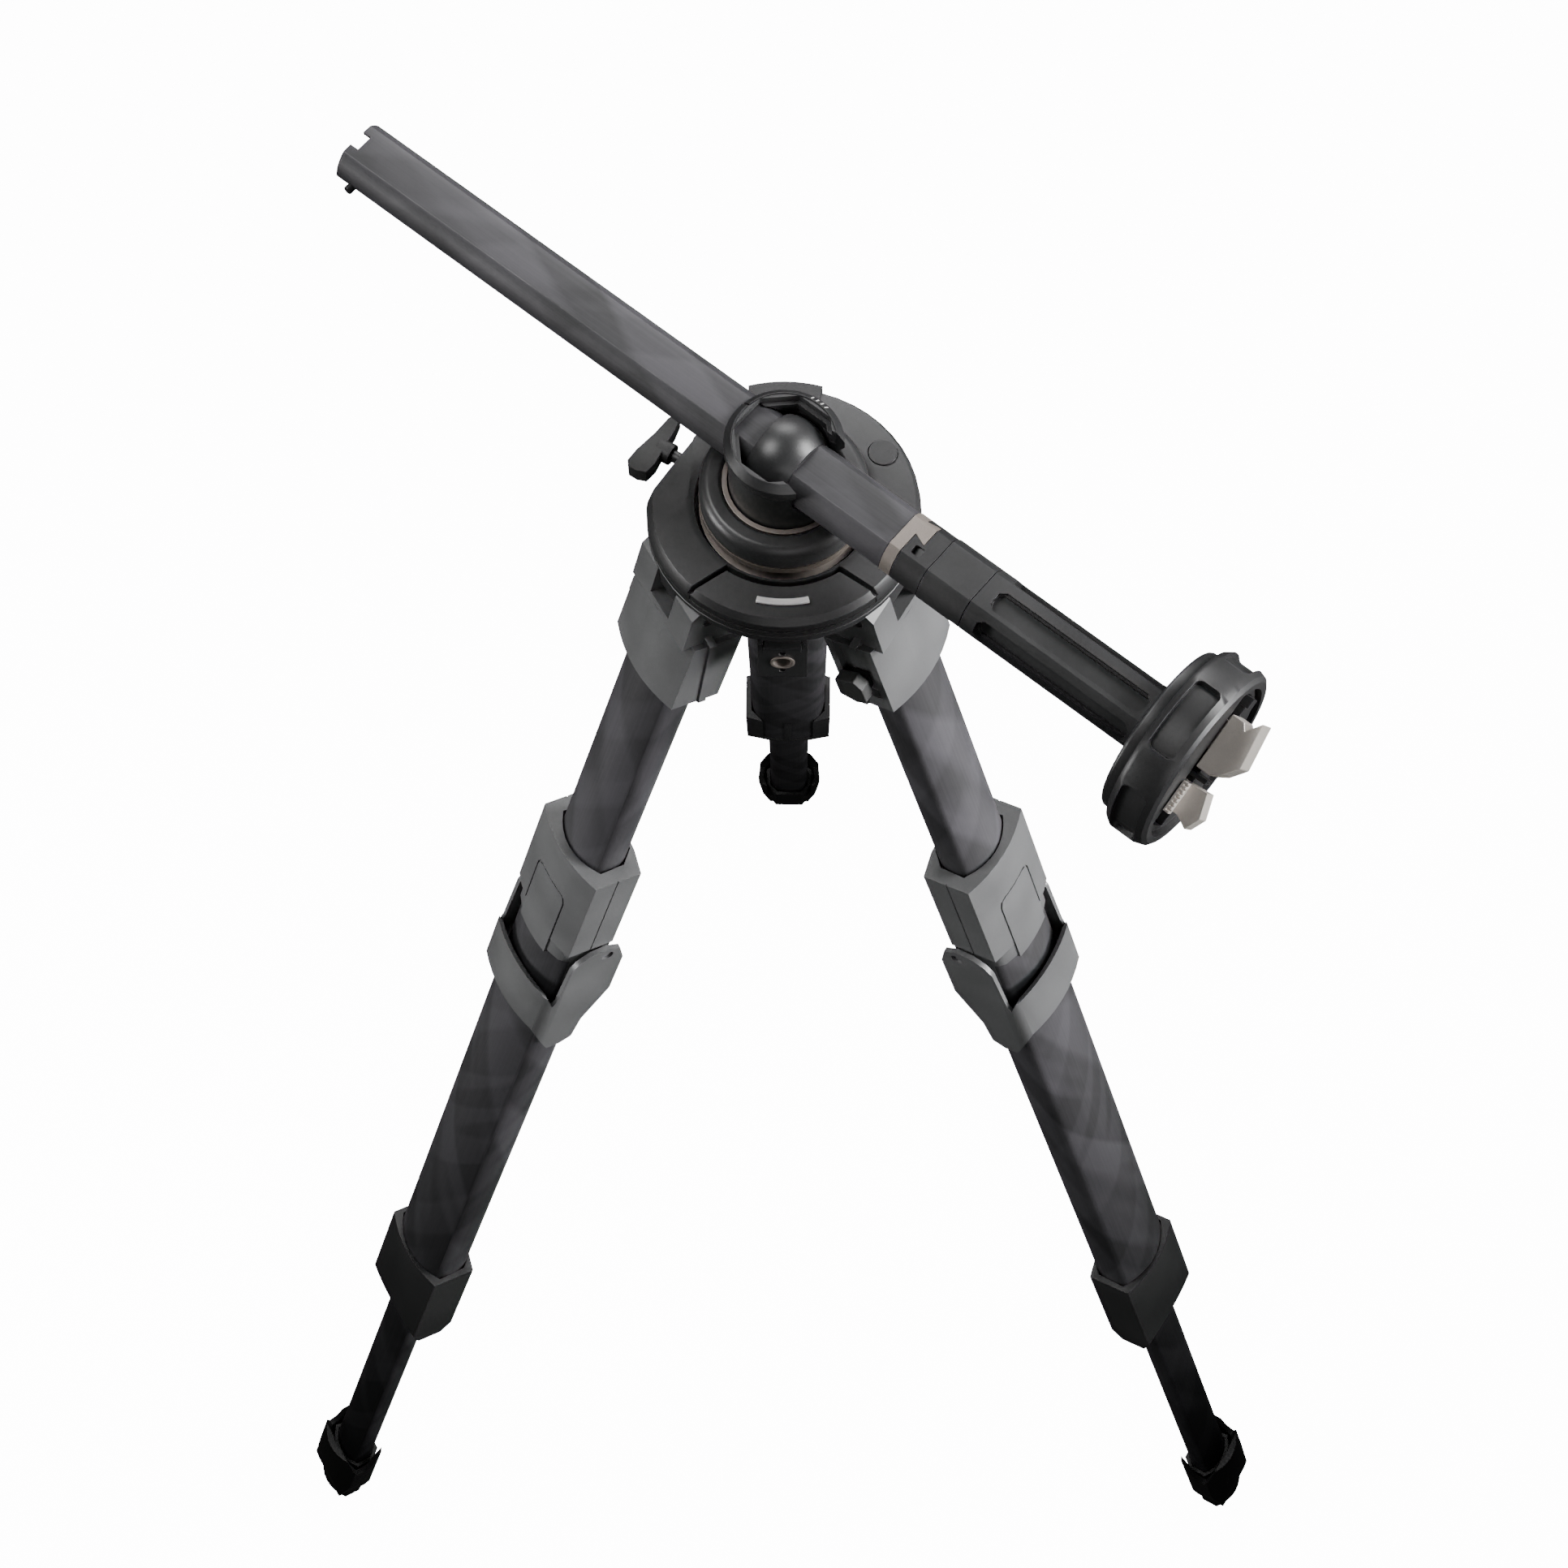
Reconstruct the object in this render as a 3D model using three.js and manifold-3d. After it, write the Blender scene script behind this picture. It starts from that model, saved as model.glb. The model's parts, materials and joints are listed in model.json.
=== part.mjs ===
// A carbon-fibre tripod: a crown with three telescopic legs, a levelling bowl, and a centre column
// swung to the horizontal that carries a quick-release mount on its end.
// Millimetres, +Z up. Inside the group the column's axis is the plane z = 0 until the last lines.
import * as THREE from "three";
import { mergeVertices } from "three/addons/utils/BufferGeometryUtils.js";
import Module from "manifold-3d";

const wasm = await Module();
wasm.setup();

// ---- driving dimensions ----
const GAP = 0.35; // clearance between touching neighbours
const LEG_AZIMUTHS = [-30, 90, 210]; // degrees, right front, rear, left front
const SPLAY = 16.7; // degrees, each leg's lean from the vertical
const HINGE_R = 52; // hinge pin's distance from the tripod's axis
const HINGE_Z = -66; // hinge pin's height
const LEG_OFFSET = 7.9; // leg axis lies this far inside the hinge pin

const COLUMN_AZIMUTH = -39; // degrees, the way the mount end points
const COLUMN_R = 16; // column tube's radius between its flats
const COLUMN_FLAT = 13.4; // axis to flat
const COLUMN_WALL = 1.8;
const COLUMN_TAIL = -256; // open end, along the column
const COLUMN_HEAD = 66.8; // where the tube meets the bronze ring
const RING_END = 73; // bronze ring's far side
const COLLAR_END = 88; // black collar's far side
const LATCH_END = 112; // latch panel's far side
const GRIP_END = 207.4;
const BALL_R = 20.6;

const RIM_Z = 15.3; // tower flange's edge
const TOWER_R = 25;
const RING_TOP = -17.2; // levelling ring's top
const CROWN_TOP = -36;
const SEAM_Z = -46;
const CROWN_BOTTOM = -60;
const CROWN_R = 63;
const BOWL_R = 39.4; // levelling ball
const BOWL_Z = -35; // its centre

// Distances down the leg from the hinge pin.
const YOKE_END = 67;
const CLAMP_TOP = 231.5;
const CLAMP_END = 312;
const LEVER_END = 402;
const FOOT_COLLAR_TOP = 717;
const FOOT_COLLAR_END = 807;
const FOOT_TOP = 1028;
const FOOT_HORN = -1031;
const TUBE_END = 1080;
const FLOOR_Z = -1133; // the ground
const MIDDLE_SHIFTS = [0, 27, 0]; // how much further each middle section is pushed in

const LOCK_RING_R = 45.7;
const LOCK_RING_FROM = 214;
const LOCK_RING_TO = 234.5;
const RECEIVER_R = 38;
const RECEIVER_FACE = 232.5;
const MOUNT_TURN = 28; // degrees the jaws' guide is turned about the column
const TILT_R = 30; // spherical seat the levelling head tilts in

// ---- materials ----
function finish(color, roughness, metalness) {
  return new THREE.MeshStandardMaterial({ color, roughness, metalness });
}
const CHARCOAL = () => finish(0x3c3d3f, 0.55, 0.4);
const BLACK = () => finish(0x1d1d1e, 0.5, 0.1);
const CARBON = () => finish(0x3a393d, 0.35, 0.2);
const BRONZE = () => finish(0x8b8077, 0.4, 0.8);
const SILVER = () => finish(0xb9b4ad, 0.35, 0.9);
const RUBBER = () => finish(0x141414, 0.85, 0);

// ---- small helpers ----
const rad = THREE.MathUtils.degToRad;

function solid(geometry) {
  const g = geometry.clone();
  g.deleteAttribute("normal");
  g.deleteAttribute("uv");
  const merged = mergeVertices(g, 1e-4);
  return new wasm.Manifold(
    new wasm.Mesh({
      numProp: 3,
      vertProperties: new Float32Array(merged.attributes.position.array),
      triVerts: new Uint32Array(merged.index.array),
    }),
  );
}

function geometryOf(body) {
  const m = body.getMesh();
  const points = new Float32Array(m.numVert * 3);
  for (let i = 0; i < m.numVert; i++) {
    points.set(m.vertProperties.subarray(i * m.numProp, i * m.numProp + 3), i * 3);
  }
  const g = new THREE.BufferGeometry();
  g.setAttribute("position", new THREE.BufferAttribute(points, 3));
  g.setIndex(new THREE.BufferAttribute(new Uint32Array(m.triVerts), 1));
  const flat = g.toNonIndexed();
  flat.computeVertexNormals();
  return flat;
}

function addPiece(parent, name, body, material) {
  const geometry = body.isBufferGeometry ? body : geometryOf(body);
  const mesh = new THREE.Mesh(geometry, material);
  mesh.name = name;
  parent.add(mesh);
  return mesh;
}

function shapeOf(points, holes = []) {
  const shape = new THREE.Shape(points.map(([x, y]) => new THREE.Vector2(x, y)));
  for (const hole of holes) {
    const rim = hole.map(([x, y]) => new THREE.Vector2(x, y));
    if (THREE.ShapeUtils.isClockWise(rim)) rim.reverse();
    shape.holes.push(new THREE.Path(rim));
  }
  return shape;
}

// Outline in XY, extruded from z0 up to z1.
function prismZ(points, z0, z1, holes = []) {
  const g = new THREE.ExtrudeGeometry(shapeOf(points, holes), {
    depth: z1 - z0,
    bevelEnabled: false,
  });
  return g.translate(0, 0, z0);
}

// Outline in XZ, extruded from y0 to y1.
function prismY(points, y0, y1) {
  const g = new THREE.ExtrudeGeometry(shapeOf(points), { depth: y1 - y0, bevelEnabled: false });
  return g.rotateX(Math.PI / 2).translate(0, y1, 0);
}

// Outline in YZ, extruded from x0 to x1.
function prismX(points, x0, x1, holes = []) {
  const g = new THREE.ExtrudeGeometry(shapeOf(points, holes), {
    depth: x1 - x0,
    bevelEnabled: false,
  });
  g.applyMatrix4(
    new THREE.Matrix4().makeBasis(
      new THREE.Vector3(0, 1, 0),
      new THREE.Vector3(0, 0, 1),
      new THREE.Vector3(1, 0, 0),
    ),
  );
  return g.translate(x0, 0, 0);
}

// Profile of [radius, height] turned about Z; its first and last points lie on the axis
// or the profile is closed by repeating its first point.
function turned(profile, segments = 36) {
  const points = profile.map(([r, z]) => new THREE.Vector2(r, z));
  return new THREE.LatheGeometry(points, segments).rotateX(Math.PI / 2);
}

// The same, turned about X; the second number is the position along X.
function turnedX(profile, segments = 36) {
  return turned(profile, segments).rotateY(Math.PI / 2);
}

function ringProfile(r0, r1, z0, z1) {
  return [
    [r0, z0],
    [r1, z0],
    [r1, z1],
    [r0, z1],
    [r0, z0],
  ];
}

function rod(radius, from, to, segments = 16) {
  const g = new THREE.CylinderGeometry(radius, radius, from.distanceTo(to), segments);
  const way = to.clone().sub(from).normalize();
  g.applyQuaternion(new THREE.Quaternion().setFromUnitVectors(new THREE.Vector3(0, 1, 0), way));
  const middle = from.clone().add(to).multiplyScalar(0.5);
  return g.translate(middle.x, middle.y, middle.z);
}

function block(x0, x1, y0, y1, z0, z1) {
  const g = new THREE.BoxGeometry(x1 - x0, y1 - y0, z1 - z0);
  return g.translate((x0 + x1) / 2, (y0 + y1) / 2, (z0 + z1) / 2);
}

const V = (x, y, z) => new THREE.Vector3(x, y, z);

// Points of a shallow arc from (x, +half) to (x, -half), bulging by rise along X.
function bulge(x, half, rise, steps) {
  const points = [];
  for (let i = 0; i <= steps; i++) {
    const y = half - (2 * half * i) / steps;
    points.push([x + rise * (1 - (y / half) ** 2), y]);
  }
  return points;
}

// A leg tube's section: rounded outside, flat sides, narrower flat inside.
function legSection(half, grow = 0) {
  const w = half + grow;
  return [
    ...bulge(0.41 * half + grow * 0.4, w, 0.35 * half + grow * 0.6, 8),
    [-0.3 * half, -w * 0.97],
    [-0.66 * half - grow, -0.6 * w],
    [-0.66 * half - grow, 0.6 * w],
    [-0.3 * half, w * 0.97],
  ];
}

// A leg collar's section: flat sides between two shallow arcs.
function collarSection(half, front, back) {
  const outer = bulge(front, half, 5.2, 8);
  const inner = bulge(0, half, 4.8, 4).map(([x, y]) => [back - x, -y]);
  return [...outer, ...inner];
}

// The same with its front corners cut back, for the lever and what it wraps.
function softCollarSection(half, front, back, cut = 1) {
  const outer = bulge(front, half - 4.5 * cut, 4.6, 8);
  const inner = bulge(0, half, 4.8, 4).map(([x, y]) => [back - x, -y]);
  return [
    ...outer,
    [front - 3.4 * cut, -half + 1.4 * cut],
    [front - 8.5 * cut, -half],
    ...inner,
    [front - 8.5 * cut, half],
    [front - 3.4 * cut, half - 1.4 * cut],
  ];
}

// The column's section: a circle with three flats, one of them on top (+Z), as [y, z].
function columnSection(radius, flat) {
  const half = Math.acos(flat / radius);
  const points = [];
  for (let k = 0; k < 3; k++) {
    const middle = Math.PI / 2 + (k * 2 * Math.PI) / 3;
    const from = middle + half;
    const to = middle + (2 * Math.PI) / 3 - half;
    for (let i = 0; i <= 5; i++) {
      const a = from + ((to - from) * i) / 5;
      points.push([radius * Math.cos(a), radius * Math.sin(a)]);
    }
  }
  return points;
}

const part = new THREE.Group();
const frame = new THREE.Group();
part.add(frame);

// ---- one leg ----
const YOKE_HALF = 27;
const UPPER_HALF = 19.5;
const MIDDLE_HALF = 24.6;
const LOWER_HALF = 14.2;
const COLLAR_HALF = 28;
const TUBE_WALL = 1.6;

function tube(half, from, to) {
  return prismZ(legSection(half), -to, -from, [legSection(half, -TUBE_WALL)]);
}

function yokeBody() {
  const low = solid(prismZ(collarSection(YOKE_HALF, 13, -13), -YOKE_END, -18));
  const cheek = [
    [LEG_OFFSET - 11, 4],
    [LEG_OFFSET - 7, 9.5],
    [LEG_OFFSET, 12],
    [LEG_OFFSET + 7, 9.5],
    [LEG_OFFSET + 11, 4],
    [LEG_OFFSET + 10, -20],
    [-15, -20],
    [-13, -10],
  ];
  const head = solid(prismY(cheek, -24, 24));
  const slot = solid(prismY([[-40, 20], [40, 20], [40, -14.5], [-40, -14.5]], -8.4, 8.4));
  const pinHole = solid(rod(3.8, V(LEG_OFFSET, -30, 0), V(LEG_OFFSET, 30, 0)));
  const socket = solid(prismZ(legSection(UPPER_HALF, GAP), -YOKE_END - 5, -30));
  const pocket = solid(block(-9, 9, -YOKE_HALF - 2, -YOKE_HALF + 3.5, -58, -20));
  return low.add(head).add(shield()).subtract(slot).subtract(pinHole).subtract(socket)
    .subtract(pocket);
}

// The curved outer skin of the yoke: leans a little off the leg and rises at its middle.
function shield() {
  const skin = [
    ...bulge(16, 28, 6.5, 8),
    ...bulge(12, 28, 6.5, 8).reverse(),
  ];
  const g = prismZ(skin, -90, 20).rotateY(0.141).translate(-8.2, 0, 0);
  const outline = [
    [-28, -YOKE_END - 0.5],
    [28, -YOKE_END - 0.5],
    [28, -18],
    [20, -9],
    [9, 1],
    [0, 3],
    [-9, 1],
    [-20, -9],
    [-28, -18],
  ];
  return solid(g).intersect(solid(prismX(outline, -30, 60)));
}

function selectorBody() {
  const stem = solid(block(-4.5, 4.5, -YOKE_HALF - 3, -YOKE_HALF + 2.9, -52, -42));
  const knob = solid(
    prismY([[-9, -41], [2, -38], [6, -43], [6, -53], [0, -56], [-9, -53]], -YOKE_HALF - 7.5,
      -YOKE_HALF - 1),
  );
  return stem.add(knob);
}

const EAR = { x: -9, z: -310 }; // lever's pivot

// The clamp's front panel, a tall rectangle with round upper corners, as [y, z].
function clampPanel(grow) {
  const y = 13.8 + grow;
  const z = -CLAMP_TOP - 29 + grow;
  return [
    [-y, -CLAMP_END - 5],
    [y, -CLAMP_END - 5],
    [y, z - 5],
    [y - 1.5, z - 1.5],
    [y - 5, z],
    [5 - y, z],
    [1.5 - y, z - 1.5],
    [-y, z - 5],
  ];
}

function clampBody() {
  const top = solid(prismZ(collarSection(COLLAR_HALF, 15.3, -11.8), -CLAMP_TOP - 70, -CLAMP_TOP));
  const low = solid(
    prismZ(softCollarSection(25.9, 15.4, -12.5), -CLAMP_END - 24, -CLAMP_TOP - 69),
  );
  const skirt = solid(
    prismX([[-25, -CLAMP_END - 30], [25, -CLAMP_END - 30], [25, -CLAMP_END - 2],
      [-25, -CLAMP_END - 2]], 1, 60),
  );
  const bore = solid(prismZ(legSection(MIDDLE_HALF, GAP), -CLAMP_END - 60, -CLAMP_TOP - 16));
  const mouth = solid(prismZ(legSection(UPPER_HALF, 0.9), -CLAMP_TOP - 20, -CLAMP_TOP + 5));
  const stud = (side) =>
    solid(rod(3.1, V(EAR.x, side * 25.3, EAR.z), V(EAR.x, side * 29.8, EAR.z)));
  const panel = solid(prismX(clampPanel(0), 10, 30));
  const shell = solid(prismZ(collarSection(COLLAR_HALF, 15.3, -30), -CLAMP_END - 4, -CLAMP_TOP));
  const under = solid(prismZ(collarSection(COLLAR_HALF, 14.3, -30), -CLAMP_END - 9, -CLAMP_TOP));
  const groove = solid(prismX(clampPanel(0.45), 6, 40)).subtract(solid(prismX(clampPanel(-0.45),
    0, 45)));
  const seam = (side) =>
    solid(block(1.6, 2.3, side * 28.4 - 1, side * 28.4 + 1, -CLAMP_TOP - 71, -CLAMP_TOP + 1));
  return top.add(low.subtract(skirt)).add(panel.intersect(shell)).subtract(bore).subtract(mouth)
    .subtract(groove.subtract(under)).subtract(seam(1)).subtract(seam(-1)).add(stud(1))
    .add(stud(-1));
}

function leverBody() {
  const outer = solid(
    prismZ(softCollarSection(31.2, 19.8, -30), -LEVER_END, -CLAMP_END + 10),
  );
  const inner = solid(
    prismZ(softCollarSection(COLLAR_HALF + 0.4, 17, -36, 0.42), -LEVER_END - 5, -CLAMP_TOP),
  );
  const side = [
    [-20.5, -318],
    [-16, -306],
    [-8, -302.4],
    [2, -303.5],
    [8.5, -308],
    [12, -314],
    [13.5, -348],
    [15, -352],
    [18, -345],
    [40, -333],
    [40, -378],
    [20, -380],
    [8, -LEVER_END],
    [0, -LEVER_END],
    [-7, -398],
    [-9, -380],
    [-20.5, -352],
  ];
  const keep = solid(prismY(side, -40, 40));
  const pin = solid(rod(3.4, V(EAR.x, -40, EAR.z), V(EAR.x, 40, EAR.z)));
  return outer.subtract(inner).intersect(keep).subtract(pin);
}

function footCollarBody() {
  const z0 = -FOOT_COLLAR_END;
  const z1 = -FOOT_COLLAR_TOP;
  const body = solid(prismZ(collarSection(COLLAR_HALF, 15.5, -12), z0, z1));
  const side = [
    [-18, z1],
    [24, z1],
    [26, z1 - 40],
    [21, z0 + 22],
    [10, z0],
    [-6, z0],
    [-18, z0 + 20],
    [-20, z1 - 30],
  ];
  const wedge = solid(prismY(side, -40, 40));
  const bore = solid(prismZ(legSection(MIDDLE_HALF, GAP), z0 + 22, z1 + 5));
  const mouth = solid(prismZ(legSection(LOWER_HALF, 0.8), z0 - 5, z0 + 30));
  return body.intersect(wedge).subtract(bore).subtract(mouth);
}

// The rubber foot: a scoop open to the back round the tube's end, its sole cut by the ground.
function footBody(tilt, ground) {
  const hull = [...bulge(12, 22.5, 10.5, 10), [0, -23.5], [-7, -20], [-11, -12], [-11, 12],
    [-7, 20], [0, 23.5]];
  const side = [
    [24, -1036],
    [17, -1036],
    [13, -1047],
    [9, -1053],
    [4, -1050],
    [-4, -1034],
    [-9, FOOT_HORN],
    [-12, -1038],
    [-12, -1064],
    [-9, -1122],
    [6, -1124],
    [13, -1104],
    [18, -1084],
    [24, -1062],
  ];
  const front = [
    [-24, -1020],
    [-24, -1064],
    [-22, -1078],
    [-17, -1100],
    [-11, -1125],
    [11, -1125],
    [17, -1100],
    [22, -1078],
    [24, -1064],
    [24, -1020],
  ];
  const scoop = [...bulge(8.5, 18.5, 9.5, 10), [0, -19.5], [-14, -15], [-14, 15], [0, 19.5]];
  const boat = solid(prismZ(hull, -1150, -FOOT_TOP))
    .intersect(solid(prismY(side, -40, 40)))
    .intersect(solid(prismX(front, -40, 40)));
  const sleeve = solid(prismZ(legSection(LOWER_HALF, 3), -1110, -1052));
  const bore = solid(prismZ(legSection(LOWER_HALF, GAP), -TUBE_END - 0.5, -1000));
  const hollow = solid(prismZ(scoop, -1078, -1000));
  const sole = solid(block(-90, 90, -60, 60, -80, 0).rotateY(tilt).translate(0, 0, ground));
  return boat.subtract(hollow).add(sleeve).subtract(bore).subtract(sole);
}

function addLeg(number, azimuth, shift) {
  const turn = new THREE.Group();
  turn.rotation.z = rad(azimuth);
  const hinge = new THREE.Group();
  hinge.position.set(HINGE_R, 0, HINGE_Z);
  hinge.rotation.y = -rad(SPLAY);
  const leg = new THREE.Group();
  leg.position.set(-LEG_OFFSET, 0, 0);
  const middle = new THREE.Group();
  middle.position.z = shift;
  frame.add(turn);
  turn.add(hinge);
  hinge.add(leg);
  leg.add(middle);
  const name = (what) => "leg_" + number + "_" + what;
  const s = Math.sin(rad(SPLAY));
  const c = Math.cos(rad(SPLAY));
  // where the leg's axis meets the ground, measured along the leg
  const ground = (FLOOR_Z - HINGE_Z + LEG_OFFSET * s) / c;
  addPiece(leg, name("yoke"), yokeBody(), CHARCOAL());
  addPiece(leg, name("hinge_pin"), rod(3.45, V(LEG_OFFSET, -23.5, 0), V(LEG_OFFSET, 23.5, 0)),
    SILVER());
  addPiece(leg, name("angle_selector"), selectorBody(), BLACK());
  addPiece(leg, name("upper_tube"), tube(UPPER_HALF, 32, 625), CARBON());
  addPiece(middle, name("clamp_collar"), clampBody(), CHARCOAL());
  addPiece(middle, name("lock_lever"), leverBody(), CHARCOAL());
  addPiece(middle, name("middle_tube"), tube(MIDDLE_HALF, CLAMP_TOP + 17, FOOT_COLLAR_END - 23),
    CARBON());
  addPiece(middle, name("lower_collar"), footCollarBody(), CHARCOAL());
  addPiece(leg, name("lower_tube"), tube(LOWER_HALF, 465, TUBE_END), CARBON());
  addPiece(leg, name("foot"), footBody(rad(SPLAY), ground), RUBBER());
}

LEG_AZIMUTHS.forEach((azimuth, i) => addLeg(i + 1, azimuth, MIDDLE_SHIFTS[i]));

// ---- crown ----
function bowlArc(radius, from, to, steps) {
  const points = [];
  for (let i = 0; i <= steps; i++) {
    const z = from + ((to - from) * i) / steps;
    points.push([Math.sqrt(radius ** 2 - (z - BOWL_Z) ** 2), z]);
  }
  return points;
}

function aroundLegs(make) {
  return LEG_AZIMUTHS.map((a) => make().rotateZ(rad(a)));
}

function crownBody() {
  const profile = [
    ...bowlArc(BOWL_R + 0.6, CROWN_BOTTOM, SEAM_Z - GAP, 5).reverse(),
    [56, CROWN_BOTTOM],
    [CROWN_R, -55],
    [CROWN_R, -51.2],
    [CROWN_R - 0.8, -50.8],
    [CROWN_R - 0.8, -50.2],
    [CROWN_R, -49.8],
    [CROWN_R, SEAM_Z - GAP],
  ];
  profile.push(profile[0]);
  let body = solid(turned(profile, 48));
  const lug = [
    [41, CROWN_BOTTOM + 2],
    [61, CROWN_BOTTOM + 2],
    [61, HINGE_Z - 4],
    [57, HINGE_Z - 9],
    [47, HINGE_Z - 9],
    [41, HINGE_Z - 4],
  ];
  aroundLegs(() => block(HINGE_R - 12.4, HINGE_R + 14, -25, 25, HINGE_Z, HINGE_Z + 12.4)).forEach(
    (cut) => {
      body = body.subtract(solid(cut));
    },
  );
  aroundLegs(() => prismY(lug.map(([r, z]) => [r, z > HINGE_Z ? -51 : z]), -8, 8)).forEach(
    (piece) => {
      body = body.add(solid(piece));
    },
  );
  aroundLegs(() => rod(3.8, V(HINGE_R, -30, HINGE_Z), V(HINGE_R, 30, HINGE_Z))).forEach((hole) => {
    body = body.subtract(solid(hole));
  });
  const screw = solid(knobRod(4.4, 30, 80));
  const mount = solid(block(-11, 11, -55.7, -40, CROWN_BOTTOM - 6, CROWN_BOTTOM + 3));
  return body.subtract(crownFlat()).subtract(screw).add(mount);
}

const KNOB_AZIMUTH = 149;
const KNOB_Z = -50.5;
const CROWN_FLAT = 53; // flat behind the knob, distance from the axis
const CROWN_FLAT_AZIMUTH = 146;

function knobRod(radius, from, to) {
  return rod(radius, V(from, 0, KNOB_Z), V(to, 0, KNOB_Z)).rotateZ(rad(KNOB_AZIMUTH));
}

function arcPoints(radius, from, to, steps) {
  const points = [];
  for (let i = 0; i <= steps; i++) {
    const a = rad(from + ((to - from) * i) / steps);
    points.push([radius * Math.cos(a), radius * Math.sin(a)]);
  }
  return points;
}

function crownFlat() {
  const cut = block(CROWN_FLAT, 90, -60, 60, -90, 0);
  return solid(cut.rotateZ(rad(CROWN_FLAT_AZIMUTH)));
}

// The front plate's outline, a ring sector with slanted ends; grow widens it all round.
function frontOutline(grow) {
  return [
    ...arcPoints(43.8 - grow, -125.5 - grow, -54.5 + grow, 12),
    ...arcPoints(CROWN_R + 1 + grow, -47.5 + grow, -132.5 - grow, 20),
  ];
}

// The rest of that plate, which hangs down the crown's wall.
function frontSkirt(inner, grow) {
  return [
    ...arcPoints(inner - grow, -131.2 - grow, -48.8 + grow, 16),
    ...arcPoints(CROWN_R + 1 + grow, -47.5 + grow, -132.5 - grow, 20),
  ];
}

function coverProfile(drop) {
  return [
    [BOWL_R + 1.2, SEAM_Z],
    [CROWN_R, SEAM_Z],
    [CROWN_R - 0.6, -41.5 - drop],
    [CROWN_R - 3, CROWN_TOP - 1.6 - drop],
    [BOWL_R + 5, CROWN_TOP - drop],
    [BOWL_R + 1.6, CROWN_TOP - 0.6 - drop],
    [BOWL_R + 1.2, CROWN_TOP - 1.4 - drop],
    [BOWL_R + 1.2, SEAM_Z],
  ];
}

const SHOULDER = [[-41.5, 60], [-42.9, 2.3], [-59.7, -14.9], [-80, -16], [-80, 60]];

// What is cut away above the lower panel beside the knob.
function shoulder() {
  const above = solid(prismZ(SHOULDER, SEAM_Z + 1, 0));
  return above.subtract(solid(turned(coverProfile(1.2), 48)));
}

function crownCover() {
  let body = solid(turned(coverProfile(0), 48)).subtract(shoulder());
  body = body.subtract(solid(prismZ(frontOutline(1.6), SEAM_Z + 4, 0)));
  body = body.subtract(solid(prismZ(frontSkirt(60, GAP), SEAM_Z - 1, SEAM_Z + 5)));
  const arch = prismZ(
    [...arcPoints(42.5, 73, 107, 8), ...arcPoints(62.3, 106, 74, 8)],
    SEAM_Z + 3,
    CROWN_TOP + 0.8,
  );
  const cap = rod(7.1, V(45, 25.5, CROWN_TOP - 4), V(45, 25.5, CROWN_TOP + 5), 24);
  return body.add(solid(arch)).subtract(solid(cap)).subtract(crownFlat());
}

addPiece(frame, "crown_body", crownBody(), CHARCOAL());
addPiece(frame, "crown_cover", crownCover(), CHARCOAL());

function frontPlate() {
  const skirt = solid(prismZ(frontSkirt(60, 0), SEAM_Z, SEAM_Z + 5));
  const slab = solid(prismZ(frontOutline(-0.7), SEAM_Z + 4 + GAP, CROWN_TOP + 1)).add(skirt);
  const dome = [
    [0, -60],
    [CROWN_R - 0.4, -60],
    [CROWN_R - 0.4, -41.5],
    [CROWN_R - 3, CROWN_TOP - 2.2],
    [46, CROWN_TOP - 0.6],
    [0, CROWN_TOP - 0.6],
  ];
  return slab.intersect(solid(turned(dome, 48)));
}

function badge() {
  const outline = [...arcPoints(51, -103, -77, 12), ...arcPoints(54, -77, -103, 12)];
  return prismZ(outline, CROWN_TOP - 0.9, CROWN_TOP + 0.6);
}

addPiece(frame, "front_plate", frontPlate().subtract(
  solid(prismZ([...arcPoints(50.7, -103.4, -76.6, 12), ...arcPoints(54.3, -76.6, -103.4, 12)],
    CROWN_TOP - 1.3, 0)),
), CHARCOAL());
addPiece(frame, "front_badge", badge(), SILVER());
addPiece(frame, "round_cap", rod(6.7, V(45, 25.5, CROWN_TOP - 3.6), V(45, 25.5, CROWN_TOP + 0.1), 24),
  CHARCOAL());

function accessoryPlate() {
  const plate = solid(block(-11.5, 11.5, -58.4, -50, -99, CROWN_BOTTOM - 6.4));
  const hole = solid(rod(4.75, V(0, -70, -84), V(0, -40, -84), 32));
  const pins = [-75.6, -92.4].map((z) => solid(rod(1.6, V(0, -70, z), V(0, -53, z), 16)));
  const seat = solid(block(-9, 9, -60, -55.6, -71, CROWN_BOTTOM));
  return plate.subtract(hole).subtract(pins[0]).subtract(pins[1]).subtract(seat);
}

addPiece(frame, "accessory_plate", accessoryPlate(), CHARCOAL());
addPiece(frame, "accessory_catch", block(-8.6, 8.6, -60.4, -56, -70.6, CROWN_BOTTOM - 6.6), BLACK());

// Locking knob of the levelling bowl: a flat two-armed paddle, as [out, along].
function wingKnob() {
  const paddle = [
    [75.5, -15],
    [75, -8],
    [72.5, 4],
    [71.4, 14],
    [69.6, 17],
    [67, 17],
    [65.4, 10],
    [64.8, 0],
    [63.6, -10],
    [64.6, -16],
    [69, -17.6],
    [73.6, -17.4],
  ];
  const wing = prismZ(paddle.map(([x, y]) => [x, -y]).reverse(), KNOB_Z - 4.5, KNOB_Z + 4.5);
  const hub = solid(knobRod(5.2, 60.5, 68));
  return solid(wing.rotateZ(rad(KNOB_AZIMUTH))).add(hub).subtract(solid(knobRod(3.3, 60, 71)));
}

addPiece(frame, "wing_knob", wingKnob(), BLACK());
addPiece(frame, "wing_knob_screw", knobRod(3, 43, 70.6), SILVER());

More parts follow.
